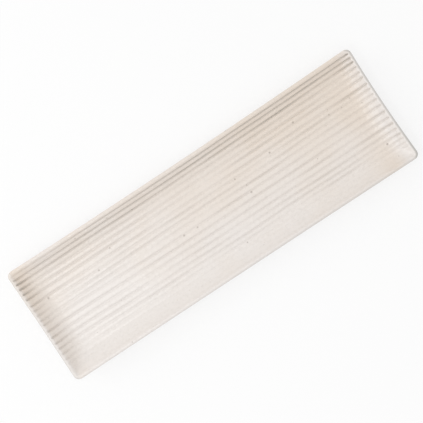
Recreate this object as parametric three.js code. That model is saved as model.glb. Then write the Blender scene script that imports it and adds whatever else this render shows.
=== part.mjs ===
// A long stoneware serving plate: a ribbed clay slab with turned-up walls, a foot ring and its glaze.
// Millimetres, +Z up and +X along the plate, with the origin on the table under the plate's middle.

import * as THREE from 'three';

// Overall size of the glazed plate
const LENGTH = 355;
const WIDTH = 111.7;
const HEIGHT = 18.5;

// Clay slab, its walls and its rim
const SLAB_THICKNESS = 4.4;
const RIM_THICKNESS = 3;
const WALL_ANGLE = THREE.MathUtils.degToRad(46);
const FLOOR_FILLET = 23;
const RIM_CORNER_RADIUS = 2.4;
const CORNER_SPREAD = 0.6;
const SIDE_BOW = 0.8;

// Grooves pressed along the upper face, with the ribs between them
const RIB_PITCH = 5.4;
const GROOVE_WIDTH = 2.8;
const GROOVE_DEPTH = 1.2;
const GROOVE_TO_LIP = 2.6;
const GROOVE_RUN_OUT = 2;

// Glaze
const GLAZE_THICKNESS = 0.5;
const GLAZE_POOLING = 0.3;
const GLAZE_TO_FOOT = 1;

// Foot ring under the slab
const FOOT_HEIGHT = 3;
const FOOT_WIDTH = 6;
const FOOT_TAPER = 0.7;
const FOOT_EDGE = 0.8;
const FOOT_INSET = 3;
const FOOT_INNER_RADIUS = 3;

// Fineness of the faceted curves
const FILLET_STEPS = 4;
const CORNER_STEPS = 6;
const FLOOR_COLUMNS = 2;

// The lip is half a circle on the rim, to which the wall thins, and leans out with the wall.
const LIP_RADIUS = RIM_THICKNESS / 2;
const LIP_REACH = LIP_RADIUS * (1 + Math.sin(WALL_ANGLE));
const LIP_RISE = LIP_RADIUS * (1 - Math.cos(WALL_ANGLE));
const LIP_TURNS = [WALL_ANGLE, WALL_ANGLE / 2, 0, -Math.PI / 4, -Math.PI / 2, WALL_ANGLE - Math.PI];

// The clay's upper face before the grooves: a flat floor, a fillet and a straight slope up to the lip.
const FLOOR_LEVEL = FOOT_HEIGHT + SLAB_THICKNESS;
const RIM_LEVEL = HEIGHT - GLAZE_THICKNESS - LIP_RISE;
const RIM_HALF_LENGTH = LENGTH / 2 - GLAZE_THICKNESS - LIP_REACH;
const RIM_HALF_WIDTH = WIDTH / 2 - GLAZE_THICKNESS - LIP_REACH;
const FILLET_RUN = FLOOR_FILLET * Math.sin(WALL_ANGLE);
const FILLET_RISE = FLOOR_FILLET * (1 - Math.cos(WALL_ANGLE));
const FILLET_LENGTH = FLOOR_FILLET * WALL_ANGLE;
const SLOPE_RUN = (RIM_LEVEL - FLOOR_LEVEL - FILLET_RISE) / Math.tan(WALL_ANGLE);
const WALL_RUN = SLOPE_RUN + FILLET_RUN;
const FLOOR_HALF_WIDTH = RIM_HALF_WIDTH - WALL_RUN;
const SECTION_LENGTH = FLOOR_HALF_WIDTH + FILLET_LENGTH + SLOPE_RUN / Math.cos(WALL_ANGLE);

// As many even ribs as come nearest to the wanted pitch, measured over the slab from its middle line.
const RIBBED_LENGTH = SECTION_LENGTH - GROOVE_TO_LIP;
const GROOVES_PER_SIDE = Math.round(RIBBED_LENGTH / RIB_PITCH);
const RIB_SPACING = RIBBED_LENGTH / GROOVES_PER_SIDE;

// The foot ring's outer edge, as growth from the rim's outline. It stands on the flat underside.
const FOOT_GROWTH = -(WALL_RUN + FOOT_INSET);
const FOOT_OUTER_RADIUS = FOOT_INNER_RADIUS + FOOT_WIDTH;

// Height of the upper face above the floor, this far inside the rim.
function wallHeight(inset) {
  const climb = WALL_RUN - inset;
  if (climb <= 0) return 0;
  if (climb <= FILLET_RUN) return FLOOR_FILLET - Math.sqrt(FLOOR_FILLET ** 2 - climb ** 2);
  return FILLET_RISE + (climb - FILLET_RUN) * Math.tan(WALL_ANGLE);
}

// Steepness of the wall, this far inside the rim.
function wallTilt(inset) {
  const climb = THREE.MathUtils.clamp(WALL_RUN - inset, 0, FILLET_RUN);
  return Math.asin(climb / FLOOR_FILLET);
}

// How far inside the rim a point lies. Where a side wall meets an end wall, the level lines turn a round
// corner, and its radius opens out below the rim.
function rimInset(x, y) {
  const fromEnd = RIM_HALF_LENGTH - Math.abs(x);
  const fromSide = RIM_HALF_WIDTH - Math.abs(y);
  const middle = (fromEnd + fromSide) / 2;
  const lead = Math.abs(fromEnd - fromSide);
  const radius = RIM_CORNER_RADIUS + CORNER_SPREAD * middle;
  if (lead >= radius) return Math.min(fromEnd, fromSide);
  return middle - radius + Math.sqrt(radius ** 2 / 2 - lead ** 2 / 4);
}

function slabHeight(x, y) {
  return FLOOR_LEVEL + wallHeight(rimInset(x, y));
}

function slabNormal(x, y) {
  const step = 0.01;
  const slopeX = (slabHeight(x + step, y) - slabHeight(x - step, y)) / (2 * step);
  const slopeY = (slabHeight(x, y + step) - slabHeight(x, y - step)) / (2 * step);
  return new THREE.Vector3(-slopeX, -slopeY, 1).normalize();
}

// Where a length measured over the slab from its middle line lies across the plate.
function acrossAt(length) {
  const beyond = Math.abs(length) - FLOOR_HALF_WIDTH;
  if (beyond <= 0) return length;
  const run = beyond <= FILLET_LENGTH
    ? FLOOR_FILLET * Math.sin(beyond / FLOOR_FILLET)
    : FILLET_RUN + (beyond - FILLET_LENGTH) * Math.cos(WALL_ANGLE);
  return Math.sign(length) * (FLOOR_HALF_WIDTH + run);
}

// Share of the full groove depth at a length measured over the slab.
function grooveShare(length) {
  const nearest = THREE.MathUtils.clamp(
    Math.round(length / RIB_SPACING), -GROOVES_PER_SIDE, GROOVES_PER_SIDE,
  );
  const away = Math.abs(length - nearest * RIB_SPACING);
  return Math.max(0, 1 - away / (GROOVE_WIDTH / 2));
}

// Rows run along the plate: both edges and the bottom of each groove, and the turn of the rim's corners.
function rowLengths() {
  const lengths = [];
  for (let groove = -GROOVES_PER_SIDE; groove <= GROOVES_PER_SIDE; groove += 1) {
    const middle = groove * RIB_SPACING;
    lengths.push(middle - GROOVE_WIDTH / 2, middle, middle + GROOVE_WIDTH / 2);
  }
  for (const turn of [0, Math.PI / 4, Math.PI / 2]) {
    const below = RIM_CORNER_RADIUS * (1 - Math.sin(turn)) / Math.cos(WALL_ANGLE);
    lengths.push(SECTION_LENGTH - below, below - SECTION_LENGTH);
  }
  lengths.sort((first, second) => first - second);
  const least = GROOVE_WIDTH / 20;
  return lengths.filter((length, index) => index === 0 || length - lengths[index - 1] > least);
}

// Insets at which the wall's curve is sampled, from the slope's foot to the floor's edge.
function filletInsets() {
  const insets = [];
  for (let step = 0; step <= FILLET_STEPS; step += 1) {
    const tilt = WALL_ANGLE * (1 - step / FILLET_STEPS);
    insets.push(WALL_RUN - FLOOR_FILLET * Math.sin(tilt));
  }
  return insets;
}

// Columns cross the plate. Each holds its distance from the rim at one end, or its share of the floor.
function columnPlaces() {
  const insets = [0, Math.min(GROOVE_RUN_OUT, SLOPE_RUN / 2), ...filletInsets()];
  const leftEnd = insets.map((inset) => ({ side: -1, inset }));
  const rightEnd = insets.map((inset) => ({ side: 1, inset })).reverse();
  const floor = [];
  for (let column = 1; column <= FLOOR_COLUMNS; column += 1) {
    floor.push({ side: 2 * column / (FLOOR_COLUMNS + 1) - 1, inset: WALL_RUN });
  }
  return [...leftEnd, ...floor, ...rightEnd];
}

// Half the length of the slab inside the rim, at a distance from the middle line.
function halfLengthAt(y) {
  const intoCorner = Math.max(0, Math.abs(y) - (RIM_HALF_WIDTH - RIM_CORNER_RADIUS));
  const across = Math.min(intoCorner, RIM_CORNER_RADIUS);
  return RIM_HALF_LENGTH - RIM_CORNER_RADIUS + Math.sqrt(RIM_CORNER_RADIUS ** 2 - across ** 2);
}

// A place on the rounded rectangle of the rim: its shares of the straight sides and its outward normal.
function rimPlace(x, y, onSide) {
  const cornerX = RIM_HALF_LENGTH - RIM_CORNER_RADIUS;
  const cornerY = RIM_HALF_WIDTH - RIM_CORNER_RADIUS;
  if (onSide) {
    return { shareX: x / cornerX, shareY: Math.sign(y), normalX: 0, normalY: Math.sign(y) };
  }
  const turn = Math.asin(THREE.MathUtils.clamp((Math.abs(y) - cornerY) / RIM_CORNER_RADIUS, 0, 1));
  return {
    shareX: Math.sign(x),
    shareY: THREE.MathUtils.clamp(y / cornerY, -1, 1),
    normalX: Math.sign(x) * Math.cos(turn),
    normalY: Math.sign(y) * Math.sin(turn),
  };
}

// The same place on a rounded rectangle that is larger than the rim's by this growth on every side.
function outlinePoint(place, growth, radius, z) {
  const cornerX = RIM_HALF_LENGTH + growth - radius;
  const cornerY = RIM_HALF_WIDTH + growth - radius;
  return new THREE.Vector3(
    cornerX * place.shareX + radius * place.normalX,
    cornerY * place.shareY + radius * place.normalY,
    z,
  );
}

// The four sides draw in a little towards their middles, as they do on a slab pressed by hand.
function drawIn(point) {
  const fromMiddleX = point.x / (LENGTH / 2);
  const fromMiddleY = point.y / (WIDTH / 2);
  return new THREE.Vector3(
    point.x - SIDE_BOW * fromMiddleX * (1 - fromMiddleY ** 2),
    point.y - SIDE_BOW * fromMiddleY * (1 - fromMiddleX ** 2),
    point.z,
  );
}

function addPoints(surface, points) {
  const first = surface.points.length;
  surface.points.push(...points);
  return points.map((point, index) => first + index);
}

// A band between two rings that both run anticlockwise seen from above.
function joinRings(surface, inner, outer) {
  inner.forEach((corner, index) => {
    const next = (index + 1) % inner.length;
    surface.triangles.push(outer[index], outer[next], inner[next]);
    surface.triangles.push(outer[index], inner[next], corner);
  });
}

// Adds another surface turned inside out, and returns where its points begin.
function addTurned(surface, other) {
  const first = surface.points.length;
  surface.points.push(...other.points);
  for (let index = 0; index < other.triangles.length; index += 3) {
    const [a, b, c] = other.triangles.slice(index, index + 3);
    surface.triangles.push(first + a, first + c, first + b);
  }
  return first;
}

function closedGeometry(surface) {
  const geometry = new THREE.BufferGeometry().setFromPoints(surface.points.map(drawIn));
  geometry.setIndex(surface.triangles);
  geometry.computeVertexNormals();
  return geometry;
}

// The ribbed upper face, the lip and the outer wall down to the edge of the flat underside, all raised
// from the clay by the lift. The last ring is left open.
function ribbedSkin(lift, grooveDepth) {
  const surface = { points: [], triangles: [] };
  const rows = rowLengths();
  const columns = columnPlaces();
  const lastRow = rows.length - 1;
  const lastColumn = columns.length - 1;
  const grid = rows.map((length) => {
    const y = acrossAt(length);
    return columns.map(({ side, inset }) => ({ x: side * (halfLengthAt(y) - inset), y, length }));
  });

  const border = [];
  for (let column = 0; column < lastColumn; column += 1) border.push([0, column]);
  for (let row = 0; row < lastRow; row += 1) border.push([row, lastColumn]);
  for (let column = lastColumn; column > 0; column -= 1) border.push([lastRow, column]);
  for (let row = lastRow; row > 0; row -= 1) border.push([row, 0]);
  const places = border.map(([row, column]) => {
    const onSide = row === 0 || row === lastRow;
    return rimPlace(grid[row][column].x, grid[row][column].y, onSide);
  });

  const addRing = (growth, z) => {
    const spread = CORNER_SPREAD * Math.max(0, growth.inset);
    const radius = RIM_CORNER_RADIUS + spread + growth.out;
    const points = places.map((place) => outlinePoint(place, growth.out - growth.inset, radius, z));
    return addPoints(surface, points);
  };
  const rings = [];
  const lipCentre = RIM_LEVEL - LIP_RADIUS * Math.cos(WALL_ANGLE);
  for (const turn of LIP_TURNS) {
    const out = LIP_RADIUS * Math.sin(WALL_ANGLE) - (LIP_RADIUS + lift) * Math.sin(turn);
    rings.push(addRing({ inset: 0, out }, lipCentre + (LIP_RADIUS + lift) * Math.cos(turn)));
  }
  for (const inset of filletInsets()) {
    const tilt = wallTilt(inset);
    const below = SLAB_THICKNESS + lift;
    const z = FLOOR_LEVEL + wallHeight(inset) - below * Math.cos(tilt);
    rings.push(addRing({ inset, out: below * Math.sin(tilt) }, z));
  }
  for (let ring = 1; ring < rings.length; ring += 1) joinRings(surface, rings[ring - 1], rings[ring]);

  const corners = grid.map((row) => row.map(() => -1));
  border.forEach(([row, column], index) => {
    corners[row][column] = rings[0][index];
  });
  for (let row = 1; row < lastRow; row += 1) {
    for (let column = 1; column < lastColumn; column += 1) {
      const { x, y, length } = grid[row][column];
      const fade = Math.min(1, (RIM_HALF_LENGTH - Math.abs(x)) / GROOVE_RUN_OUT);
      const raised = lift - grooveDepth * fade * grooveShare(length);
      const point = new THREE.Vector3(x, y, slabHeight(x, y)).addScaledVector(slabNormal(x, y), raised);
      [corners[row][column]] = addPoints(surface, [point]);
    }
  }
  for (let row = 0; row < lastRow; row += 1) {
    for (let column = 0; column < lastColumn; column += 1) {
      const near = [corners[row][column], corners[row][column + 1]];
      const far = [corners[row + 1][column], corners[row + 1][column + 1]];
      surface.triangles.push(near[0], near[1], far[1]);
      surface.triangles.push(near[0], far[1], far[0]);
    }
  }
  return { ...surface, places, edge: rings[rings.length - 1] };
}

function stonewareBody() {
  const surface = ribbedSkin(0, GROOVE_DEPTH);
  const [middle] = addPoints(surface, [new THREE.Vector3(0, 0, FOOT_HEIGHT)]);
  surface.edge.forEach((corner, index) => {
    surface.triangles.push(middle, surface.edge[(index + 1) % surface.edge.length], corner);
  });
  return closedGeometry(surface);
}

// The coat wraps the slab, is deeper in the grooves, and ends on the underside just outside the foot ring.
function glazeCoat() {
  const surface = ribbedSkin(GLAZE_THICKNESS, GROOVE_DEPTH - GLAZE_POOLING);
  const growth = FOOT_GROWTH + GLAZE_TO_FOOT;
  const radius = FOOT_OUTER_RADIUS + GLAZE_TO_FOOT;
  const [outerLine, clayLine] = [FOOT_HEIGHT - GLAZE_THICKNESS, FOOT_HEIGHT].map((z) => addPoints(
    surface,
    surface.places.map((place) => outlinePoint(place, growth, radius, z)),
  ));
  joinRings(surface, surface.edge, outerLine);
  joinRings(surface, outerLine, clayLine);
  const clay = ribbedSkin(0, GROOVE_DEPTH);
  const first = addTurned(surface, clay);
  joinRings(surface, clayLine, clay.edge.map((corner) => first + corner));
  return closedGeometry(surface);
}

// Ring of places with rounded corners only, for outlines whose sides are plain.
function cornerPlaces() {
  const places = [];
  for (let quarter = 0; quarter < 4; quarter += 1) {
    const middle = (quarter + 0.5) * Math.PI / 2;
    for (let step = 0; step <= CORNER_STEPS; step += 1) {
      const turn = (quarter + step / CORNER_STEPS) * Math.PI / 2;
      places.push({
        shareX: Math.sign(Math.cos(middle)),
        shareY: Math.sign(Math.sin(middle)),
        normalX: Math.cos(turn),
        normalY: Math.sin(turn),
      });
    }
  }
  return places;
}

// A bar with a slightly tapered section and eased lower edges, bent round into a rounded rectangle.
function footRing() {
  const surface = { points: [], triangles: [] };
  const places = cornerPlaces();
  const section = [
    [0, FOOT_HEIGHT],
    [FOOT_TAPER, FOOT_EDGE],
    [FOOT_TAPER + FOOT_EDGE, 0],
    [FOOT_WIDTH - FOOT_TAPER - FOOT_EDGE, 0],
    [FOOT_WIDTH - FOOT_TAPER, FOOT_EDGE],
    [FOOT_WIDTH, FOOT_HEIGHT],
  ];
  const rings = section.map(([inward, z]) => addPoints(
    surface,
    places.map((place) => outlinePoint(place, FOOT_GROWTH - inward, FOOT_OUTER_RADIUS - inward, z)),
  ));
  rings.forEach((ring, index) => joinRings(surface, ring, rings[(index + 1) % rings.length]));
  return closedGeometry(surface);
}

function footWellGlaze() {
  const inward = FOOT_WIDTH + GLAZE_TO_FOOT;
  const growth = FOOT_GROWTH - inward;
  const outline = cornerPlaces().map((place) => outlinePoint(place, growth, FOOT_INNER_RADIUS, 0));
  const geometry = new THREE.ExtrudeGeometry(new THREE.Shape(outline), {
    depth: GLAZE_THICKNESS,
    bevelEnabled: false,
  });
  return geometry.translate(0, 0, FOOT_HEIGHT - GLAZE_THICKNESS);
}

const clay = new THREE.MeshStandardMaterial({ name: 'stoneware_clay', color: 0xb49b80, roughness: 0.85 });
const glaze = new THREE.MeshStandardMaterial({ name: 'speckled_glaze', color: 0xe7dfd6, roughness: 0.3 });

const plate = new THREE.Group();
plate.name = 'serving_plate';
for (const [name, geometry, material] of [
  ['stoneware_body', stonewareBody(), clay],
  ['foot_ring', footRing(), clay],
  ['glaze_coat', glazeCoat(), glaze],
  ['foot_well_glaze', footWellGlaze(), glaze],
]) {
  const mesh = new THREE.Mesh(geometry, material);
  mesh.name = name;
  plate.add(mesh);
}

export default plate;
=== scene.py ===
"""Looks of a long ribbed stoneware serving plate: its clay and glaze, the studio and the camera."""

from math import asin, ceil, cos, pi, radians, sin, sqrt, tan

import bmesh
import bpy
from mathutils import Euler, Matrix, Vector, noise


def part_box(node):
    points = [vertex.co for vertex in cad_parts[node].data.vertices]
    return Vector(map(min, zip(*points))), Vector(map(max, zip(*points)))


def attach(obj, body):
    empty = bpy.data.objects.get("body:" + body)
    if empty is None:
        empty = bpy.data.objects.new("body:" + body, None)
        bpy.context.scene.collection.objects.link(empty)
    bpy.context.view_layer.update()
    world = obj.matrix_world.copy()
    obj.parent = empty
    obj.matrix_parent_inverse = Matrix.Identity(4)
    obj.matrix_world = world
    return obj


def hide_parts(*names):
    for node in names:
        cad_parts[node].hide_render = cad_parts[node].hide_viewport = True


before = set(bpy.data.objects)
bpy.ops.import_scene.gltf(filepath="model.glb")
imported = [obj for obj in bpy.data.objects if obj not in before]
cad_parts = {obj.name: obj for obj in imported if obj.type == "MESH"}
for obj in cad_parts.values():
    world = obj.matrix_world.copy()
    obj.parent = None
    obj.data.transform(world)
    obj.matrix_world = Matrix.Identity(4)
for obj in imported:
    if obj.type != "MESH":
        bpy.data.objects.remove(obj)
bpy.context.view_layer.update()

MM = 0.001

# Sizes that the frame gives
GLAZE_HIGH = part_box("glaze_coat")[1]
CLAY_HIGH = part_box("stoneware_body")[1]
FOOT_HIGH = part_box("foot_ring")[1]
HALF_LENGTH = GLAZE_HIGH.x
HALF_WIDTH = GLAZE_HIGH.y
HEIGHT = GLAZE_HIGH.z
GLAZE_THICKNESS = HEIGHT - CLAY_HIGH.z
FOOT_HEIGHT = FOOT_HIGH.z

# Clay slab, its walls and its rim
SLAB_THICKNESS = 4.4 * MM
RIM_THICKNESS = 3 * MM
WALL_ANGLE = radians(46)
FLOOR_FILLET = 23 * MM
RIM_CORNER_RADIUS = 2.4 * MM
CORNER_SPREAD = 0.6
LIP_RADIUS = RIM_THICKNESS / 2

# How far each side draws in at its middle, and how much the rim wavers, as on a slab pressed by hand
BACK_BOW = 1.4 * MM
FRONT_BOW = 0.3 * MM
LEFT_BOW = 0.4 * MM
RIGHT_BOW = 1.25 * MM
END_SKEW = 0.005
RIM_WAVER = 0.3 * MM
WAVER_LENGTH = 70 * MM

# Grooves combed along the upper face
GROOVES_PER_SIDE = 10
GROOVE_DEPTH = 1.9 * MM
GROOVE_REACH = 1.9 * MM
GROOVE_SHARPNESS = 1.2
GROOVE_SHIFT = 0.7 * MM
GROOVE_SPACING = 5.2 * MM
COMB_TEETH = 4
FIRST_GAP = 1 * MM
SECOND_GAP = 1.35 * MM
FRONT_DRIFT = 3.5 * MM
FRONT_DRIFT_SPAN = 46 * MM
LEFT_SLANT = 2 * MM
LEFT_HOOK = 0.6 * MM
GROOVE_WANDER = 0.5 * MM
WANDER_LENGTH = 60 * MM
LIP_NOTCH = 0.6

# How firmly the comb bit, as shares of the full depth, and what the ends add to that
BACK_LEFT_PRESS = 0.82
BACK_RIGHT_PRESS = 1
FLOOR_PRESS = 0.42
FRONT_PRESS = 0.08
LEFT_PRESS = 1.15
LEFT_FLOOR_PRESS = 0.4
RIGHT_PRESS = 0.5
PRESS_LEAN = 0.22
TOP_GROOVE_FADE = 0.6
PRESS_VARIATION = 0.8
BACK_EVENNESS = 0.7
PRESS_LENGTH = 45 * MM

# Glaze over the ribs and round the lip: turns are measured from the top of the lip
GLAZE_POOLING = 0.3 * MM
GLAZE_UNEVENNESS = 0.09 * MM
UNEVEN_LENGTH = 7 * MM
# Turns round the lip between which painted shade lies on its outer shoulder
RIM_SHADE_STARTS = (-0.4, 0.5)
RIM_SHADE_ENDS = (-2.3, -1.4)

# Where in the noise each kind of unevenness is drawn, and how far apart the grooves lie in it
WANDER_SEED = 0.5
PRESS_SEED = 5
WAVER_SEED = 2.5
UNEVEN_SEED = 3.5
GLAZE_LINE_SEED = 7.5
WANDER_STRIDE = 0.37
PRESS_STRIDE = 1.7

# Foot ring and the glaze lines on either side of it
FOOT_WIDTH = 6 * MM
FOOT_TAPER = 0.7 * MM
FOOT_EDGE = 1.0 * MM
FOOT_SLIP = 0.45 * MM
FOOT_OUTER_RADIUS = 9 * MM
GLAZE_TO_FOOT = 1 * MM
GLAZE_LINE_WAVER = 0.35 * MM
GLAZE_LINE_LENGTH = 9 * MM
TOAST_WIDTH = 8 * MM
WELL_TOAST_WIDTH = 2 * MM

# Fineness of the meshes: the glazed face that shows, and the clay under it
FACE_ROW_STEP = 0.45 * MM
FACE_WALL_STEP = 0.8 * MM
FACE_FLOOR_STEP = 2.5 * MM
FACE_TURN_STEPS = 10
HIDDEN_ROW_STEP = 1.0 * MM
HIDDEN_WALL_STEP = 2.5 * MM
HIDDEN_FLOOR_STEP = 20 * MM
HIDDEN_TURN_STEPS = 4
FOOT_CORNER_STEPS = 14
FOOT_SIDE_STEPS = 40
ROUND_EDGE_STEP = pi / 8

# The clay's upper face before the grooves: a flat floor, a fillet and a straight slope up to the lip
LIP_REACH = LIP_RADIUS * (1 + sin(WALL_ANGLE))
FLOOR_LEVEL = FOOT_HEIGHT + SLAB_THICKNESS
RIM_LEVEL = HEIGHT - GLAZE_THICKNESS - LIP_RADIUS * (1 - cos(WALL_ANGLE))
RIM_HALF_LENGTH = HALF_LENGTH - GLAZE_THICKNESS - LIP_REACH
RIM_HALF_WIDTH = HALF_WIDTH - GLAZE_THICKNESS - LIP_REACH
FILLET_RUN = FLOOR_FILLET * sin(WALL_ANGLE)
FILLET_RISE = FLOOR_FILLET * (1 - cos(WALL_ANGLE))
FILLET_LENGTH = FLOOR_FILLET * WALL_ANGLE
SLOPE_RUN = (RIM_LEVEL - FLOOR_LEVEL - FILLET_RISE) / tan(WALL_ANGLE)
WALL_RUN = SLOPE_RUN + FILLET_RUN
FLOOR_HALF_WIDTH = RIM_HALF_WIDTH - WALL_RUN
FLOOR_HALF_LENGTH = RIM_HALF_LENGTH - WALL_RUN
SECTION_LENGTH = FLOOR_HALF_WIDTH + FILLET_LENGTH + SLOPE_RUN / cos(WALL_ANGLE)
FOOT_GROWTH = FOOT_HIGH.y - RIM_HALF_WIDTH

# Where the grooves shift and the comb's bite changes: lengths over the slab from its middle line, and
# lengths along the plate
HOOK_SPAN = (FLOOR_HALF_WIDTH + FILLET_RUN / 2, FLOOR_HALF_WIDTH)
SLANT_SPAN = (-FRONT_DRIFT_SPAN, -FLOOR_HALF_WIDTH / 2)
SLANT_ALONG = (FLOOR_HALF_LENGTH / 3, FLOOR_HALF_LENGTH)
FRONT_WALL_SPAN = (FLOOR_HALF_WIDTH - FILLET_RUN / 2, FLOOR_HALF_WIDTH + FILLET_RUN)
BACK_WALL_SPAN = (FLOOR_HALF_WIDTH + 0.2 * FILLET_LENGTH, FLOOR_HALF_WIDTH + 0.75 * FILLET_LENGTH)
TOP_GROOVE_SPAN = (FLOOR_HALF_WIDTH + 0.85 * FILLET_LENGTH, FLOOR_HALF_WIDTH + 1.1 * FILLET_LENGTH)
LEFT_BACK_SPAN = (0.6 * FLOOR_HALF_WIDTH, 1.1 * FLOOR_HALF_WIDTH)
BACK_FLOOR_SPAN = (FLOOR_HALF_WIDTH / 4, FLOOR_HALF_WIDTH)
TOP_FADE_ALONG = (FLOOR_HALF_LENGTH / 2.5, RIM_HALF_LENGTH)
LEFT_FLOOR_ALONG = (FLOOR_HALF_LENGTH / 4, FLOOR_HALF_LENGTH / 1.5)
END_WALL_ALONG = (FLOOR_HALF_LENGTH, RIM_HALF_LENGTH)

# Where painted light and painted shade lie along the plate, and where the rim's painted shade is
# strongest
LEFT_WALL_ALONG = (-HALF_LENGTH, -FLOOR_HALF_LENGTH / 1.1)
LEFT_RIM_ALONG = (-RIM_HALF_LENGTH, LIP_REACH - RIM_HALF_LENGTH)
RIGHT_CURVE_ALONG = (FLOOR_HALF_LENGTH / 1.2, FLOOR_HALF_LENGTH)
RIGHT_WALL_ALONG = (FLOOR_HALF_LENGTH, HALF_LENGTH)
RIGHT_RIM_ALONG = (RIM_HALF_LENGTH - LIP_REACH, RIM_HALF_LENGTH)

# Studio and camera
PICTURE_TURN = radians(33.5)
VIEW_LEAN = radians(2.6)
PICTURE_SPAN = 363.3 * MM
PICTURE_MIDDLE = (0.18 * MM, 3.7 * MM)
LENS_MM = 100
SENSOR_MM = 36
WINDOW_PLACE = (-0.85, 0.62, 0.45)
WINDOW_SIZE = 0.7
WINDOW_WATTS = 2.6
TOP_PLACE = (-0.28, -0.07, 0.90)
TOP_SIZE = 0.4
TOP_DEPTH = 0.14
TOP_WATTS = 0.62
CARD_PLACE = (-0.9, 0.1, 0.72)
CARD_SIZE = 0.65
CARD_WATTS = 1.8
CARD_COLOUR = (0.80, 0.92, 1)
CEILING_PLACE = (-0.2, -0.1, 1.2)
CEILING_SIZE = 1.2
CEILING_WATTS = 2.0
SKY_LIGHT = 0.78
FLOOR_SIZE = 6
FLOOR_COLOUR = (0.93, 0.93, 0.93, 1)
FLOOR_WHITENESS = 0.7

# Colours of the fired surfaces
# Thin and thicker glaze; mixing these two colours also paints light and shade across the plate, and a
# painted sheen on the right wall
THIN_GLAZE_AND_SHADE_COLOUR = (0.783, 0.694, 0.609, 1)
THICK_GLAZE_AND_LIGHT_COLOUR = (0.808, 0.762, 0.725, 1)
# Painted shade in the grooves, also the colour of the random mottling
GROOVE_SHADE_AND_MOTTLE_COLOUR = (0.50, 0.46, 0.41, 1)
# Painted shade on the rim's outer shoulder
RIM_SHADE_COLOUR = (0.43, 0.42, 0.395, 1)
TOASTED_COLOUR = (0.50, 0.34, 0.20, 1)
SPECK_COLOUR = (0.10, 0.055, 0.03, 1)
FRECKLE_COLOUR = (0.42, 0.31, 0.21, 1)
CLAY_COLOUR = (0.46, 0.33, 0.22, 1)
DARK_CLAY_COLOUR = (0.33, 0.22, 0.14, 1)
SAND_COLOUR = (0.66, 0.55, 0.43, 1)

# Patterns in the glaze and the clay: grain sizes, spans of the noise and strengths
NOISE_SPAN = (0.3, 0.7)
CLOUD_SIZE = 45 * MM
CURDLE_SIZE = 2.6 * MM
RIPPLE_SIZE = 4 * MM
RIPPLE_HEIGHT = 0.3 * MM
RIPPLE_STRENGTH = 0.8
GLAZE_ROUGHNESS = (0.22, 0.28)
# Strength of the painted shade in the grooves
GROOVE_SHADE_TINT = 0.9
# Strength of the painted shade on the rim's outer shoulder
RIM_SHADE_TINT = 0.85
TOAST_SPAN = (0.2, 0.8)
TOAST_TINT = (0.2, 0.7)
MOTTLE_SPAN = (0.45, 0.75)
MOTTLE_TINT = 0.14
PATCH_SIZE = 18 * MM
PATCH_SPAN = (0.35, 0.7)
SAND_SIZE = 0.7 * MM
SAND_SPAN = (0.5, 0.75)
SAND_TINT = 0.6
SAND_HEIGHT = 0.2 * MM
SAND_STRENGTH = 0.7
CLAY_ROUGHNESS = (0.78, 0.92)

# Glaze tone, from thin glaze at 0 to paler, thicker glaze at 1: the clouds add the glaze's own uneven
# thickness, and each place adds painted light where positive and painted shade where negative, with a
# painted sheen on the right wall
PAINTED_LIGHT_AT_LEFT = 0.3
PAINTED_LIGHT_AT_RIGHT = -0.35
PAINTED_LIGHT_AT_FRONT = 0.5
PAINTED_LIGHT_AT_BACK = -0.2
PAINTED_LIGHT_ON_LEFT_WALL = -0.7
PAINTED_LIGHT_ON_LEFT_LIP = 0.6
PAINTED_LIGHT_ON_RIGHT_CURVE = -0.3
PAINTED_SHEEN_ON_RIGHT_WALL = 1.35
THICK_IN_CLOUDS = (0.35, 0.65)

# How strong the painted shade on the rim's outer shoulder is at each end, and along the front towards
# the right
RIM_SHADE_AT_LEFT = 0.3
RIM_SHADE_AT_RIGHT = 0.5
RIM_SHADE_AT_FRONT = 0.3

# Specks: spacing, radius and share of the cells that hold one, then their strength
FRECKLES = (6 * MM, 0.7 * MM, 0.4)
FRECKLE_TINT = 0.25
IRON_SPECKS = (10 * MM, 1.1 * MM, 0.55)
IRON_TINT = 0.5
GROG = (3 * MM, 0.4 * MM, 0.4)
GROG_TINT = 0.7
SPECK_RUFFLE_SIZE = 0.9 * MM
SPECK_RUFFLE_SHIFT = 0.6 * MM
SPECK_LEAST_SIZE = 0.6
SPECK_SIZE_RANGE = 0.8
SPECK_CORE = 0.45
SPECK_LEAST_STRENGTH = 0.3
SPECK_STRENGTH_RANGE = 0.7
SPECK_RARITY = 3


def clamped(value, low, high):
    return max(low, min(high, value))


def smooth_step(value, low, high):
    """Rises smoothly from 0 at the low value to 1 at the high one."""
    share = clamped((value - low) / (high - low), 0, 1)
    return share * share * (3 - 2 * share)


def signed(size, sign):
    return size if sign >= 0 else -size


def wall_height(inset):
    """Height of the upper face above the floor, this far inside the rim."""
    climb = WALL_RUN - inset
    if climb <= 0:
        return 0
    if climb <= FILLET_RUN:
        return FLOOR_FILLET - sqrt(FLOOR_FILLET ** 2 - climb ** 2)
    return FILLET_RISE + (climb - FILLET_RUN) * tan(WALL_ANGLE)


def wall_tilt(inset):
    """Steepness of the wall, this far inside the rim."""
    return asin(clamped(WALL_RUN - inset, 0, FILLET_RUN) / FLOOR_FILLET)


def rim_inset(x, y):
    """How far inside the rim a point lies, with level lines that turn rounder corners further down."""
    from_end = RIM_HALF_LENGTH - abs(x)
    from_side = RIM_HALF_WIDTH - abs(y)
    middle = (from_end + from_side) / 2
    lead = abs(from_end - from_side)
    radius = RIM_CORNER_RADIUS + CORNER_SPREAD * middle
    if lead >= radius:
        return min(from_end, from_side)
    return middle - radius + sqrt(radius ** 2 / 2 - lead ** 2 / 4)


def slab_height(x, y):
    return FLOOR_LEVEL + wall_height(rim_inset(x, y))


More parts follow.
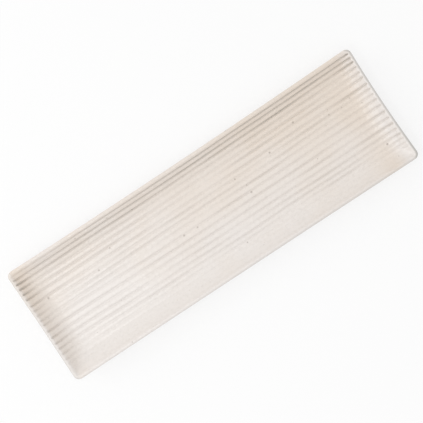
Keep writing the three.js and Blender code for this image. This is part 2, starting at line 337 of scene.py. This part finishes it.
def slab_normal(x, y):
    step = 0.01 * MM
    slope_x = (slab_height(x + step, y) - slab_height(x - step, y)) / (2 * step)
    slope_y = (slab_height(x, y + step) - slab_height(x, y - step)) / (2 * step)
    return Vector((-slope_x, -slope_y, 1)).normalized()


def across_at(length):
    """Where a length measured over the slab from its middle line lies across the plate."""
    beyond = abs(length) - FLOOR_HALF_WIDTH
    if beyond <= 0:
        return length
    if beyond <= FILLET_LENGTH:
        run = FLOOR_FILLET * sin(beyond / FLOOR_FILLET)
    else:
        run = FILLET_RUN + (beyond - FILLET_LENGTH) * cos(WALL_ANGLE)
    return signed(FLOOR_HALF_WIDTH + run, length)


def groove_middle(number, x):
    """Length over the slab to a groove's bottom: the comb's strokes gape, drift, slant and wander."""
    wander = GROOVE_WANDER * noise.noise((x / WANDER_LENGTH, number * WANDER_STRIDE, WANDER_SEED))
    wander -= GROOVE_SHIFT
    even = number * GROOVE_SPACING
    wander -= LEFT_HOOK * smooth_step(-x, *END_WALL_ALONG) * smooth_step(even, *HOOK_SPAN)
    if number > 0:
        return even + FIRST_GAP + (SECOND_GAP if number > COMB_TEETH else 0) + wander
    drift = FRONT_DRIFT * sin(pi * min(1, -even / FRONT_DRIFT_SPAN))
    slant = LEFT_SLANT * smooth_step(-x, *SLANT_ALONG) * smooth_step(even, *SLANT_SPAN)
    return even - drift + slant + wander


def local_press(middle, x):
    """What the comb's bite gains by the ends, and on the floor's back half near the left one."""
    end_press = RIGHT_PRESS if x > 0 else LEFT_PRESS * (1 + smooth_step(middle, *LEFT_BACK_SPAN))
    by_end = end_press * smooth_step(abs(x), *END_WALL_ALONG)
    on_floor = smooth_step(-x, *LEFT_FLOOR_ALONG) * smooth_step(middle, *BACK_FLOOR_SPAN)
    return max(by_end, LEFT_FLOOR_PRESS * on_floor)


def groove_press(number, middle, x):
    """How firmly the comb bit: hard on the back wall, unevenly on the floor and barely on the front."""
    back = smooth_step(middle, *BACK_WALL_SPAN)
    front = smooth_step(-middle, *FRONT_WALL_SPAN)
    along = smooth_step(x, -HALF_LENGTH, HALF_LENGTH)
    back_press = BACK_LEFT_PRESS + (BACK_RIGHT_PRESS - BACK_LEFT_PRESS) * along
    fading = smooth_step(middle, *TOP_GROOVE_SPAN) * smooth_step(-x, *TOP_FADE_ALONG)
    back_press *= 1 - TOP_GROOVE_FADE * fading
    firm = FLOOR_PRESS + (back_press - FLOOR_PRESS) * back - (FLOOR_PRESS - FRONT_PRESS) * front
    lean = 2 * smooth_step(x, -FLOOR_HALF_LENGTH, FLOOR_HALF_LENGTH) - 1
    firm *= 1 + PRESS_LEAN * lean * (1 - back)
    uneven = noise.noise((x / PRESS_LENGTH, PRESS_SEED, number * PRESS_STRIDE))
    uneven *= PRESS_VARIATION * (1 - BACK_EVENNESS * back)
    return firm * (1 + uneven + local_press(middle, x) * (1 - back))


def groove_share(length, x):
    """Share of the full groove depth at a length over the slab."""
    ridge = 1
    for number in range(-GROOVES_PER_SIDE, GROOVES_PER_SIDE + 1):
        middle = groove_middle(number, x)
        away = abs(length - middle)
        if away < GROOVE_REACH:
            dip = (0.5 + 0.5 * cos(pi * away / GROOVE_REACH)) ** GROOVE_SHARPNESS
            ridge *= 1 - clamped(dip * groove_press(number, middle, x), 0, 1)
    return 1 - ridge


def even_steps(start, stop, step):
    """Evenly spaced values from start to stop, with about the wanted step."""
    count = max(1, ceil(abs(stop - start) / step))
    return [start + (stop - start) * number / count for number in range(count + 1)]


def row_lengths(row_step, turn_steps):
    """Rows of the upper face, as lengths over the slab. The outer ones follow the round corners."""
    below = [
        RIM_CORNER_RADIUS * (1 - sin(pi / 2 * step / turn_steps)) / cos(WALL_ANGLE)
        for step in range(turn_steps + 1)
    ]
    near_rim = [SECTION_LENGTH - drop for drop in below]
    inner = even_steps(-near_rim[0], near_rim[0], row_step)
    return [-length for length in reversed(near_rim)] + inner[1:-1] + near_rim


def column_places(wall_step, floor_step):
    """Columns of the upper face: the end that each belongs to and its distance from the rim there."""
    insets = even_steps(0, WALL_RUN, wall_step)
    floor = even_steps(-1, 1, floor_step / FLOOR_HALF_LENGTH)
    left_end = [(-1, inset) for inset in insets]
    right_end = [(1, inset) for inset in reversed(insets)]
    return left_end + [(side, WALL_RUN) for side in floor[1:-1]] + right_end


def half_length_at(y):
    """Half the length of the slab inside the rim, at a distance from the middle line."""
    into_corner = abs(y) - (RIM_HALF_WIDTH - RIM_CORNER_RADIUS)
    across = clamped(into_corner, 0, RIM_CORNER_RADIUS)
    return RIM_HALF_LENGTH - RIM_CORNER_RADIUS + sqrt(RIM_CORNER_RADIUS ** 2 - across ** 2)


def rim_place(x, y, on_side, groove):
    """A place on the rim: shares of the straight sides, outward normal and groove share."""
    corner_x = RIM_HALF_LENGTH - RIM_CORNER_RADIUS
    corner_y = RIM_HALF_WIDTH - RIM_CORNER_RADIUS
    if on_side:
        return x / corner_x, signed(1, y), 0, signed(1, y), 0
    turn = asin(clamped((abs(y) - corner_y) / RIM_CORNER_RADIUS, 0, 1))
    share_y = clamped(y / corner_y, -1, 1)
    return signed(1, x), share_y, signed(cos(turn), x), signed(sin(turn), y), groove * cos(turn)


def outline_point(place, growth, radius, z):
    """The same place on a rounded rectangle that is larger than the rim by this growth all round."""
    share_x, share_y, normal_x, normal_y = place[:4]
    corner_x = RIM_HALF_LENGTH + growth - radius
    corner_y = RIM_HALF_WIDTH + growth - radius
    return Vector((corner_x * share_x + radius * normal_x, corner_y * share_y + radius * normal_y, z))


def notch_share(place, turn):
    """How much of a groove reaches this far round the lip: it fades out over the top."""
    return place[4] * smooth_step(turn, -WALL_ANGLE / 4, WALL_ANGLE)


def lip_point(place, turn, lift, groove_depth):
    """A point on the round lip, half a circle on the end of the slab, which the grooves notch."""
    radius = LIP_RADIUS + lift - LIP_NOTCH * groove_depth * notch_share(place, turn)
    out = LIP_RADIUS * sin(WALL_ANGLE) - radius * sin(turn)
    z = RIM_LEVEL - LIP_RADIUS * cos(WALL_ANGLE) + radius * cos(turn)
    return outline_point(place, out, RIM_CORNER_RADIUS + out, z)


def rim_shade_share(turn):
    """Painted shade on the lip, strongest on its outer shoulder, which faces away from the light."""
    return smooth_step(-turn, *RIM_SHADE_STARTS) * smooth_step(turn, *RIM_SHADE_ENDS)


def outer_wall_point(place, inset, lift):
    """A point on the outside of the wall, below the upper face at this inset."""
    tilt = wall_tilt(inset)
    below = SLAB_THICKNESS + lift
    out = below * sin(tilt)
    z = FLOOR_LEVEL + wall_height(inset) - below * cos(tilt)
    return outline_point(place, out - inset, RIM_CORNER_RADIUS + CORNER_SPREAD * inset + out, z)


def hand_formed(point):
    """Draws the sides in towards their middles, skews the ends and lets the walls and the rim waver."""
    from_middle_x = clamped(point.x / HALF_LENGTH, -1, 1)
    from_middle_y = clamped(point.y / HALF_WIDTH, -1, 1)
    bow_x = RIGHT_BOW if point.x > 0 else LEFT_BOW
    bow_y = BACK_BOW if point.y > 0 else FRONT_BOW
    climb = clamped((point.z - FLOOR_LEVEL) / (HEIGHT - FLOOR_LEVEL), 0, 1)
    waver = 0.5 + 0.5 * noise.noise((point.x / WAVER_LENGTH, point.y / WAVER_LENGTH, WAVER_SEED))
    skew = END_SKEW * (point.y + HALF_WIDTH * from_middle_x)
    return Vector((
        point.x - bow_x * from_middle_x * (1 - from_middle_y ** 2) - skew,
        point.y - bow_y * from_middle_y * (1 - from_middle_x ** 2),
        point.z - RIM_WAVER * climb * waver,
    ))


def ring_edges(ring):
    """The open edges that join the vertices of a ring."""
    edges = {edge for vert in ring for edge in vert.link_edges if edge.is_boundary or edge.is_wire}
    return [edge for edge in edges if edge.verts[0] in ring and edge.verts[1] in ring]


def next_ring(bm, ring, point_at):
    """Extrudes an open ring of vertices once, and puts each new vertex where its place says."""
    made = bmesh.ops.extrude_edge_only(bm, edges=ring_edges(ring))["geom"]
    grown = {}
    for vert in (item for item in made if isinstance(item, bmesh.types.BMVert)):
        source = next(end for end in (edge.other_vert(vert) for edge in vert.link_edges) if end in ring)
        grown[vert] = ring[source]
        vert.co = point_at(ring[source])
    return grown


def ribbed_skin(bm, lift, groove_depth, rows, columns, turn_steps):
    """The ribbed upper face, the lip and the outer wall, raised from the clay by the lift.

    Returns the open ring at the edge of the flat underside.
    """
    groove = bm.verts.layers.float["groove"]
    rim_shade = bm.verts.layers.float["rim_shade"]
    verts = bmesh.ops.create_grid(bm, x_segments=len(columns) - 1, y_segments=len(rows) - 1)["verts"]
    ring = {}
    for index, vert in enumerate(verts):
        row, column = divmod(index, len(columns))
        side, inset = columns[column]
        y = across_at(rows[row])
        x = side * (half_length_at(y) - inset)
        on_side = row in (0, len(rows) - 1)
        vert[groove] = 0 if on_side else groove_share(rows[row], x)
        if on_side or column in (0, len(columns) - 1):
            ring[vert] = rim_place(x, y, on_side, vert[groove])
            vert.co = lip_point(ring[vert], WALL_ANGLE, lift, groove_depth)
        else:
            raised = lift - groove_depth * vert[groove]
            if lift:
                where = (x / UNEVEN_LENGTH, y / UNEVEN_LENGTH, UNEVEN_SEED)
                raised += GLAZE_UNEVENNESS * noise.noise(where)
            vert.co = Vector((x, y, slab_height(x, y))) + raised * slab_normal(x, y)
    for turn in even_steps(WALL_ANGLE, WALL_ANGLE - pi, pi / (2 * turn_steps))[1:]:
        ring = next_ring(bm, ring, lambda place: lip_point(place, turn, lift, groove_depth))
        for vert, place in ring.items():
            vert[groove] = notch_share(place, turn)
            # How much painted shade the lip carries at this turn
            vert[rim_shade] = rim_shade_share(turn)
    for tilt in even_steps(WALL_ANGLE, 0, WALL_ANGLE / turn_steps):
        inset = WALL_RUN - FLOOR_FILLET * sin(tilt)
        ring = next_ring(bm, ring, lambda place: outer_wall_point(place, inset, lift))
    return ring


def new_mesh():
    """An empty mesh whose vertices say how near they are to a groove and a glaze line, and how much
    painted shade lies on the rim.
    """
    bm = bmesh.new()
    bm.verts.layers.float.new("groove")
    bm.verts.layers.float.new("glaze_line")
    bm.verts.layers.float.new("rim_shade")
    return bm


def shown_piece(bm, name, node, material):
    """Makes a smooth object from a mesh, with its faces pointing outwards, in place of a CAD node."""
    for vert in bm.verts:
        vert.co = hand_formed(vert.co)
    bmesh.ops.recalc_face_normals(bm, faces=bm.faces)
    mesh = bpy.data.meshes.new(name)
    bm.to_mesh(mesh)
    bm.free()
    mesh.shade_smooth()
    mesh.materials.append(material)
    piece = bpy.data.objects.new(name, mesh)
    bpy.context.collection.objects.link(piece)
    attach(piece, "root")
    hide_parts(node)


def hidden_skin(bm):
    """The clay's own upper face, lip and outer wall."""
    rows = row_lengths(HIDDEN_ROW_STEP, HIDDEN_TURN_STEPS)
    columns = column_places(HIDDEN_WALL_STEP, HIDDEN_FLOOR_STEP)
    return ribbed_skin(bm, 0, GROOVE_DEPTH, rows, columns, HIDDEN_TURN_STEPS)


def waved_line(place, growth, radius, z):
    """A point on a glaze line, which a sponge wiped a little unevenly."""
    point = outline_point(place, growth, radius, z)
    where = (point.x / GLAZE_LINE_LENGTH, point.y / GLAZE_LINE_LENGTH, GLAZE_LINE_SEED)
    waver = GLAZE_LINE_WAVER * noise.noise(where)
    return outline_point(place, growth + waver, radius + waver, z)


def glaze_edge_profile():
    """Section of a glaze line: how far each point lies from the line, and how thick the glaze is."""
    return [
        (GLAZE_THICKNESS * (1 - sin(turn)), GLAZE_THICKNESS * cos(turn))
        for turn in even_steps(0, pi / 2, ROUND_EDGE_STEP)
    ]


def glaze_coat(material):
    """Glaze over the slab, down to the line outside the foot ring, with its inner face on the clay."""
    bm = new_mesh()
    glaze_line = bm.verts.layers.float["glaze_line"]
    rows = row_lengths(FACE_ROW_STEP, FACE_TURN_STEPS)
    columns = column_places(FACE_WALL_STEP, FACE_FLOOR_STEP)
    pooled_depth = GROOVE_DEPTH - GLAZE_POOLING
    ring = ribbed_skin(bm, GLAZE_THICKNESS, pooled_depth, rows, columns, FACE_TURN_STEPS)
    growth = FOOT_GROWTH + GLAZE_TO_FOOT
    radius = FOOT_OUTER_RADIUS + GLAZE_TO_FOOT
    for inside, thickness in glaze_edge_profile():
        z = FOOT_HEIGHT - thickness
        ring = next_ring(bm, ring, lambda place: waved_line(place, growth + inside, radius + inside, z))
    for vert in bm.verts:
        x, y, z = vert.co
        if z < slab_height(x, y) - SLAB_THICKNESS / 2:
            vert[glaze_line] = smooth_step(rim_inset(x, y), -growth - TOAST_WIDTH, -growth)
    clay_ring = hidden_skin(bm)
    bmesh.ops.triangle_fill(bm, use_beauty=True, edges=ring_edges(ring) + ring_edges(clay_ring))
    shown_piece(bm, "plate_glaze", "glaze_coat", material)


def stoneware_body(material):
    """The clay slab, which shows only in the bare strips beside the foot ring."""
    bm = new_mesh()
    ring = hidden_skin(bm)
    bmesh.ops.edgeloop_fill(bm, edges=ring_edges(ring))
    shown_piece(bm, "plate_clay", "stoneware_body", material)


def foot_places():
    """Places round the foot: even steps along the sides and through the corners."""
    places = []
    for quarter in range(4):
        middle = (quarter + 0.5) * pi / 2
        ahead = middle + pi / 2
        side_x, side_y = signed(1, cos(middle)), signed(1, sin(middle))
        next_x, next_y = signed(1, cos(ahead)), signed(1, sin(ahead))
        for step in range(FOOT_CORNER_STEPS + 1):
            turn = (quarter + step / FOOT_CORNER_STEPS) * pi / 2
            places.append((side_x, side_y, cos(turn), sin(turn), 0))
        turn = (quarter + 1) * pi / 2
        for step in range(1, FOOT_SIDE_STEPS):
            share = step / FOOT_SIDE_STEPS
            along_x = side_x + (next_x - side_x) * share
            along_y = side_y + (next_y - side_y) * share
            places.append((along_x, along_y, cos(turn), sin(turn), 0))
    return places


def foot_outline(bm, point_at):
    """A closed ring of vertices round the foot, to extrude from."""
    places = foot_places()
    verts = bmesh.ops.create_circle(bm, segments=len(places), radius=1)["verts"]
    ring = dict(zip(verts, places))
    for vert, place in ring.items():
        vert.co = point_at(place)
    return ring


def foot_section():
    """Section of the foot ring, as distances in from its outer edge and heights: slip, taper, edge."""
    outer = [
        (0, FOOT_HEIGHT),
        (FOOT_SLIP / 2, FOOT_HEIGHT - FOOT_SLIP / 3),
        (FOOT_SLIP, FOOT_HEIGHT - FOOT_SLIP),
    ]
    for turn in even_steps(0, pi / 2, ROUND_EDGE_STEP):
        outer.append((FOOT_TAPER + FOOT_EDGE * (1 - cos(turn)), FOOT_EDGE * (1 - sin(turn))))
    return outer + [(FOOT_WIDTH - inward, z) for inward, z in reversed(outer)]


def foot_ring(material):
    """The luted bar that the plate stands on, bare where it was wiped clean and sanded."""
    bm = new_mesh()
    section = foot_section()

    def point_on(section_point):
        inward, z = section_point
        return lambda place: outline_point(place, FOOT_GROWTH - inward, FOOT_OUTER_RADIUS - inward, z)

    first = foot_outline(bm, point_on(section[0]))
    ring = first
    for section_point in section[1:]:
        ring = next_ring(bm, ring, point_on(section_point))
    bmesh.ops.bridge_loops(bm, edges=ring_edges(ring) + ring_edges(first))
    shown_piece(bm, "plate_foot", "foot_ring", material)


def foot_well_glaze(material):
    """The pool of glaze on the underside, inside the foot ring."""
    bm = new_mesh()
    glaze_line = bm.verts.layers.float["glaze_line"]
    growth = FOOT_GROWTH - FOOT_WIDTH - GLAZE_TO_FOOT
    radius = FOOT_OUTER_RADIUS - FOOT_WIDTH

    def point_on(inside, thickness):
        z = FOOT_HEIGHT - thickness
        return lambda place: waved_line(place, growth - inside, radius - inside, z)

    profile = list(reversed(glaze_edge_profile()))
    ring = foot_outline(bm, point_on(*profile[0]))
    bmesh.ops.edgeloop_fill(bm, edges=ring_edges(ring))
    for inside, thickness in profile[1:]:
        ring = next_ring(bm, ring, point_on(inside, thickness))
    for vert in bm.verts:
        vert[glaze_line] = 1
    ring = next_ring(bm, ring, point_on(GLAZE_THICKNESS + WELL_TOAST_WIDTH, GLAZE_THICKNESS))
    for vert in ring:
        vert[glaze_line] = 0
    bmesh.ops.edgeloop_fill(bm, edges=ring_edges(ring))
    shown_piece(bm, "foot_well_pool", "foot_well_glaze", material)


def new_material(name):
    """A node material, its tree and its shader."""
    material = bpy.data.materials.new(name)
    material.use_nodes = True
    tree = material.node_tree
    return material, tree, tree.nodes["Principled BSDF"]


def object_place(tree):
    """Object coordinates, on which the patterns lie."""
    return tree.nodes.new("ShaderNodeTexCoord").outputs["Object"]


def math_node(tree, operation, first, second):
    """A Math node whose inputs are sockets or plain numbers."""
    node = tree.nodes.new("ShaderNodeMath")
    node.operation = operation
    for socket, value in zip(node.inputs, (first, second)):
        if isinstance(value, (int, float)):
            socket.default_value = value
        else:
            tree.links.new(value, socket)
    return node.outputs[0]


def clamped_sum(tree, values):
    """The sum of several values, kept between 0 and 1."""
    total = values[0]
    for value in values[1:]:
        total = math_node(tree, "ADD", total, value)
    total.node.use_clamp = True
    return total


def mixed_colour(tree, factor, first, second):
    """A colour Mix node whose inputs are sockets or plain values."""
    node = tree.nodes.new("ShaderNodeMix")
    node.data_type = "RGBA"
    colours = [socket for socket in node.inputs if socket.type == "RGBA"]
    for socket, value in ((node.inputs[0], factor), (colours[0], first), (colours[1], second)):
        if isinstance(value, (int, float, tuple)):
            socket.default_value = value
        else:
            tree.links.new(value, socket)
    return next(socket for socket in node.outputs if socket.type == "RGBA")


def tinted(tree, body, mask, strength, colour):
    """A body colour that turns to another one where a mask says, up to a strength."""
    return mixed_colour(tree, math_node(tree, "MULTIPLY", mask, strength), body, colour)


def spread(tree, value, low, high, to_low=0.0, to_high=1.0):
    """A smooth Map Range node from one span to another."""
    node = tree.nodes.new("ShaderNodeMapRange")
    node.interpolation_type = "SMOOTHSTEP"
    tree.links.new(value, node.inputs["Value"])
    for name, number in (("From Min", low), ("From Max", high), ("To Min", to_low), ("To Max", to_high)):
        node.inputs[name].default_value = number
    return node.outputs["Result"]


def noise_value(tree, vector, grain, detail=2.0, roughness=0.5):
    """Soft noise with about this grain size, in metres."""
    node = tree.nodes.new("ShaderNodeTexNoise")
    tree.links.new(vector, node.inputs["Vector"])
    node.inputs["Scale"].default_value = 1 / grain
    node.inputs["Detail"].default_value = detail
    node.inputs["Roughness"].default_value = roughness
    return node.outputs["Fac"]


def speck_group():
    """Node group that scatters uneven round specks of different sizes and strengths."""
    group = bpy.data.node_groups.new("scattered_specks", "ShaderNodeTree")
    sockets = group.interface
    sockets.new_socket("Vector", in_out="INPUT", socket_type="NodeSocketVector")
    for name in ("Spacing", "Radius", "Share"):
        sockets.new_socket(name, in_out="INPUT", socket_type="NodeSocketFloat")
    sockets.new_socket("Mask", in_out="OUTPUT", socket_type="NodeSocketFloat")
    given = group.nodes.new("NodeGroupInput").outputs
    result = group.nodes.new("NodeGroupOutput").inputs["Mask"]

    ruffle = group.nodes.new("ShaderNodeTexNoise")
    ruffle.inputs["Scale"].default_value = 1 / SPECK_RUFFLE_SIZE
    group.links.new(given["Vector"], ruffle.inputs["Vector"])
    shift = group.nodes.new("ShaderNodeVectorMath")
    shift.operation = "MULTIPLY_ADD"
    group.links.new(ruffle.outputs["Color"], shift.inputs[0])
    shift.inputs[1].default_value = (SPECK_RUFFLE_SHIFT,) * 3
    group.links.new(given["Vector"], shift.inputs[2])

    cells = group.nodes.new("ShaderNodeTexVoronoi")
    group.links.new(shift.outputs["Vector"], cells.inputs["Vector"])
    group.links.new(math_node(group, "DIVIDE", 1, given["Spacing"]), cells.inputs["Scale"])
    away = math_node(group, "MULTIPLY", cells.outputs["Distance"], given["Spacing"])
    chance = group.nodes.new("ShaderNodeSeparateColor")
    group.links.new(cells.outputs["Color"], chance.inputs["Color"])
    chosen = math_node(group, "LESS_THAN", chance.outputs["Red"], given["Share"])
    size = math_node(group, "MULTIPLY_ADD", chance.outputs["Green"], SPECK_SIZE_RANGE)
    size.node.inputs[2].default_value = SPECK_LEAST_SIZE
    radius = math_node(group, "MULTIPLY", size, given["Radius"])
    soft = group.nodes.new("ShaderNodeMapRange")
    soft.interpolation_type = "SMOOTHSTEP"
    group.links.new(away, soft.inputs["Value"])
    group.links.new(radius, soft.inputs["From Min"])
    group.links.new(math_node(group, "MULTIPLY", radius, SPECK_CORE), soft.inputs["From Max"])
    rare = math_node(group, "POWER", chance.outputs["Blue"], SPECK_RARITY)
    strength = math_node(group, "MULTIPLY_ADD", rare, SPECK_STRENGTH_RANGE)
    strength.node.inputs[2].default_value = SPECK_LEAST_STRENGTH
    shown = math_node(group, "MULTIPLY", chosen, strength)
    mask = math_node(group, "MULTIPLY", soft.outputs["Result"], shown)
    group.links.new(mask, result)
    return group


def specks(tree, group, vector, sizes):
    """Places the speck group in a material, with its spacing, radius and share, and returns its mask."""
    node = tree.nodes.new("ShaderNodeGroup")
    node.node_tree = group
    tree.links.new(vector, node.inputs["Vector"])
    for name, value in zip(("Spacing", "Radius", "Share"), sizes):
        node.inputs[name].default_value = value
    return node.outputs["Mask"]


def surface_bump(tree, height, distance, strength):
    """A Bump node that gives the shader its normal."""
    node = tree.nodes.new("ShaderNodeBump")
    node.inputs["Distance"].default_value = distance
    node.inputs["Strength"].default_value = strength
    tree.links.new(height, node.inputs["Height"])
    return node.outputs["Normal"]


def vertex_value(tree, name):
    """A value that the mesh's vertices carry."""
    node = tree.nodes.new("ShaderNodeAttribute")
    node.attribute_name = name
    return node.outputs["Fac"]


def glaze_thickness_and_painted_light(tree, x, y, clouds):
    """Share of the paler, thicker glaze: the clouds give the glaze's own uneven thickness, and the rest
    is painted light and painted shade, lighter towards the front and the left, shaded towards the back
    and the right, on the left wall and on the right fillet, with a painted sheen on the right wall.
    """
    return clamped_sum(tree, [
        spread(tree, x, -HALF_LENGTH, HALF_LENGTH, PAINTED_LIGHT_AT_LEFT, PAINTED_LIGHT_AT_RIGHT),
        spread(tree, y, -HALF_WIDTH, HALF_WIDTH, PAINTED_LIGHT_AT_FRONT, PAINTED_LIGHT_AT_BACK),
        spread(tree, x, *LEFT_WALL_ALONG, PAINTED_LIGHT_ON_LEFT_WALL, 0),
        spread(tree, x, *LEFT_RIM_ALONG, PAINTED_LIGHT_ON_LEFT_LIP, 0),
        spread(tree, x, *RIGHT_CURVE_ALONG, 0, PAINTED_LIGHT_ON_RIGHT_CURVE),
        spread(tree, x, *RIGHT_WALL_ALONG, 0, PAINTED_SHEEN_ON_RIGHT_WALL),
        spread(tree, clouds, *NOISE_SPAN, *THICK_IN_CLOUDS),
    ])


def shaded_rim(tree, x, y):
    """Painted shade on the rim's outer shoulder: by the ends, and along the front towards the right."""
    left = spread(tree, x, *LEFT_RIM_ALONG, RIM_SHADE_AT_LEFT, 0)
    right = spread(tree, x, *RIGHT_RIM_ALONG, 0, RIM_SHADE_AT_RIGHT)
    to_right = spread(tree, x, -HALF_LENGTH, HALF_LENGTH, 0, RIM_SHADE_AT_FRONT)
    to_front = spread(tree, y, -HALF_WIDTH, 0, 1, 0)
    front = math_node(tree, "MULTIPLY", to_right, to_front)
    shade_strength = clamped_sum(tree, [left, right, front])
    return math_node(tree, "MULTIPLY", vertex_value(tree, "rim_shade"), shade_strength)


def speckled_glaze(speck_nodes):
    """Satin off-white glaze: painted shade in the grooves and on the rim's outer shoulder, painted light
    and shade across the plate, mottled, with iron specks.
    """
    material, tree, shader = new_material("speckled_glaze")
    where = object_place(tree)
    clouds = noise_value(tree, where, CLOUD_SIZE, detail=3)
    curdle = noise_value(tree, where, CURDLE_SIZE, detail=4, roughness=0.6)
    ripple = noise_value(tree, where, RIPPLE_SIZE, detail=1)
    place = tree.nodes.new("ShaderNodeSeparateXYZ")
    tree.links.new(where, place.inputs["Vector"])
    x, y = place.outputs["X"], place.outputs["Y"]

    # The glaze colour carries painted light and painted shade across the plate, besides the glaze's own
    # uneven thickness
    thickness_and_painted_light = glaze_thickness_and_painted_light(tree, x, y, clouds)
    body = mixed_colour(tree, thickness_and_painted_light, THIN_GLAZE_AND_SHADE_COLOUR, THICK_GLAZE_AND_LIGHT_COLOUR)
    # Painted shade in the grooves
    groove_shade = math_node(tree, "POWER", vertex_value(tree, "groove"), 2)
    body = tinted(tree, body, groove_shade, GROOVE_SHADE_TINT, GROOVE_SHADE_AND_MOTTLE_COLOUR)
    # Painted shade on the rim's outer shoulder
    body = tinted(tree, body, shaded_rim(tree, x, y), RIM_SHADE_TINT, RIM_SHADE_COLOUR)
    toast = spread(tree, curdle, *TOAST_SPAN, *TOAST_TINT)
    body = tinted(tree, body, vertex_value(tree, "glaze_line"), toast, TOASTED_COLOUR)
    body = tinted(tree, body, spread(tree, curdle, *MOTTLE_SPAN), MOTTLE_TINT, GROOVE_SHADE_AND_MOTTLE_COLOUR)
    freckles = specks(tree, speck_nodes, where, FRECKLES)
    body = tinted(tree, body, freckles, FRECKLE_TINT, FRECKLE_COLOUR)
    iron = specks(tree, speck_nodes, where, IRON_SPECKS)
    body = tinted(tree, body, iron, IRON_TINT, SPECK_COLOUR)

    tree.links.new(body, shader.inputs["Base Color"])
    tree.links.new(spread(tree, clouds, *NOISE_SPAN, *GLAZE_ROUGHNESS), shader.inputs["Roughness"])
    rippled = surface_bump(tree, ripple, RIPPLE_HEIGHT, RIPPLE_STRENGTH)
    tree.links.new(rippled, shader.inputs["Normal"])
    return material


def stoneware_clay(speck_nodes):
    """Bare buff stoneware: sandy grain, toasted patches and dark grog."""
    material, tree, shader = new_material("stoneware_clay")
    where = object_place(tree)
    patches = noise_value(tree, where, PATCH_SIZE, detail=3)
    sand = noise_value(tree, where, SAND_SIZE, detail=3, roughness=0.65)
    body = mixed_colour(tree, spread(tree, patches, *PATCH_SPAN), CLAY_COLOUR, DARK_CLAY_COLOUR)
    body = tinted(tree, body, spread(tree, sand, *SAND_SPAN), SAND_TINT, SAND_COLOUR)
    body = tinted(tree, body, specks(tree, speck_nodes, where, GROG), GROG_TINT, SPECK_COLOUR)
    tree.links.new(body, shader.inputs["Base Color"])
    tree.links.new(spread(tree, sand, *NOISE_SPAN, *CLAY_ROUGHNESS), shader.inputs["Roughness"])
    tree.links.new(surface_bump(tree, sand, SAND_HEIGHT, SAND_STRENGTH), shader.inputs["Normal"])
    return material


def seen_as_background(tree):
    """One for rays that show the background: from the camera, or mirrored or passed on by a surface."""
    path = tree.nodes.new("ShaderNodeLightPath").outputs
    seen = math_node(tree, "MAXIMUM", path["Is Camera Ray"], path["Is Glossy Ray"])
    return math_node(tree, "MAXIMUM", seen, path["Is Transmission Ray"])


def studio_floor():
    """A wide white table that keeps the plate's soft shadow."""
    bm = bmesh.new()
    bmesh.ops.create_grid(bm, x_segments=1, y_segments=1, size=FLOOR_SIZE / 2)
    mesh = bpy.data.meshes.new("studio_floor")
    bm.to_mesh(mesh)
    bm.free()
    floor = bpy.data.objects.new("studio_floor", mesh)
    bpy.context.collection.objects.link(floor)
    material, tree, shader = new_material("white_table")
    shader.inputs["Base Color"].default_value = FLOOR_COLOUR
    shader.inputs["Roughness"].default_value = 1
    shader.inputs["Specular IOR Level"].default_value = 0
    glow = tree.nodes.new("ShaderNodeEmission")
    mix = tree.nodes.new("ShaderNodeMixShader")
    share = math_node(tree, "MULTIPLY", seen_as_background(tree), FLOOR_WHITENESS)
    tree.links.new(share, mix.inputs["Fac"])
    tree.links.new(shader.outputs["BSDF"], mix.inputs[1])
    tree.links.new(glow.outputs["Emission"], mix.inputs[2])
    tree.links.new(mix.outputs["Shader"], tree.nodes["Material Output"].inputs["Surface"])
    mesh.materials.append(material)


def soft_lamp(name, place, size, watts):
    """A square lamp that faces the plate, and is returned."""
    data = bpy.data.lights.new(name, "AREA")
    data.energy = watts
    data.size = size
    lamp = bpy.data.objects.new(name, data)
    lamp.location = place
    lamp.rotation_euler = Vector(place).to_track_quat("Z", "Y").to_euler()
    bpy.context.collection.objects.link(lamp)
    return lamp


def studio_light():
    """A white room, its ceiling, a window by the left end, a long lamp above it and a shine card."""
    world = bpy.data.worlds.new("white_room")
    bpy.context.scene.world = world
    world.use_nodes = True
    tree = world.node_tree
    background = tree.nodes["Background"]
    background.inputs["Color"].default_value = (1, 1, 1, 1)
    shown = math_node(tree, "MULTIPLY", seen_as_background(tree), 1 - SKY_LIGHT)
    tree.links.new(math_node(tree, "ADD", shown, SKY_LIGHT), background.inputs["Strength"])
    soft_lamp("window", WINDOW_PLACE, WINDOW_SIZE, WINDOW_WATTS)
    soft_lamp("ceiling", CEILING_PLACE, CEILING_SIZE, CEILING_WATTS)
    top = soft_lamp("top_lamp", TOP_PLACE, TOP_SIZE, TOP_WATTS)
    top.data.shape = "RECTANGLE"
    top.data.size_y = TOP_DEPTH
    card = soft_lamp("shine_card", CARD_PLACE, CARD_SIZE, CARD_WATTS)
    card.data.color = CARD_COLOUR
    card.visible_diffuse = False


def picture_camera():
    """The camera almost straight above the plate, turned so that it lies aslant in the picture."""
    data = bpy.data.cameras.new("picture_camera")
    data.lens = LENS_MM
    data.sensor_width = SENSOR_MM
    camera = bpy.data.objects.new("picture_camera", data)
    turn = Euler((0, VIEW_LEAN, 0)).to_matrix() @ Euler((0, 0, -PICTURE_TURN)).to_matrix()
    aim = turn @ Vector((PICTURE_MIDDLE[0], PICTURE_MIDDLE[1], 0)) + Vector((0, 0, HEIGHT))
    camera.location = aim + turn @ Vector((0, 0, PICTURE_SPAN * LENS_MM / SENSOR_MM))
    camera.rotation_euler = turn.to_euler()
    bpy.context.collection.objects.link(camera)
    bpy.context.scene.camera = camera


picture_camera()
studio_floor()
studio_light()
speck_nodes = speck_group()
glaze = speckled_glaze(speck_nodes)
clay = stoneware_clay(speck_nodes)
stoneware_body(clay)
foot_ring(clay)
glaze_coat(glaze)
foot_well_glaze(glaze)

bpy.context.scene.view_settings.view_transform = "Standard"
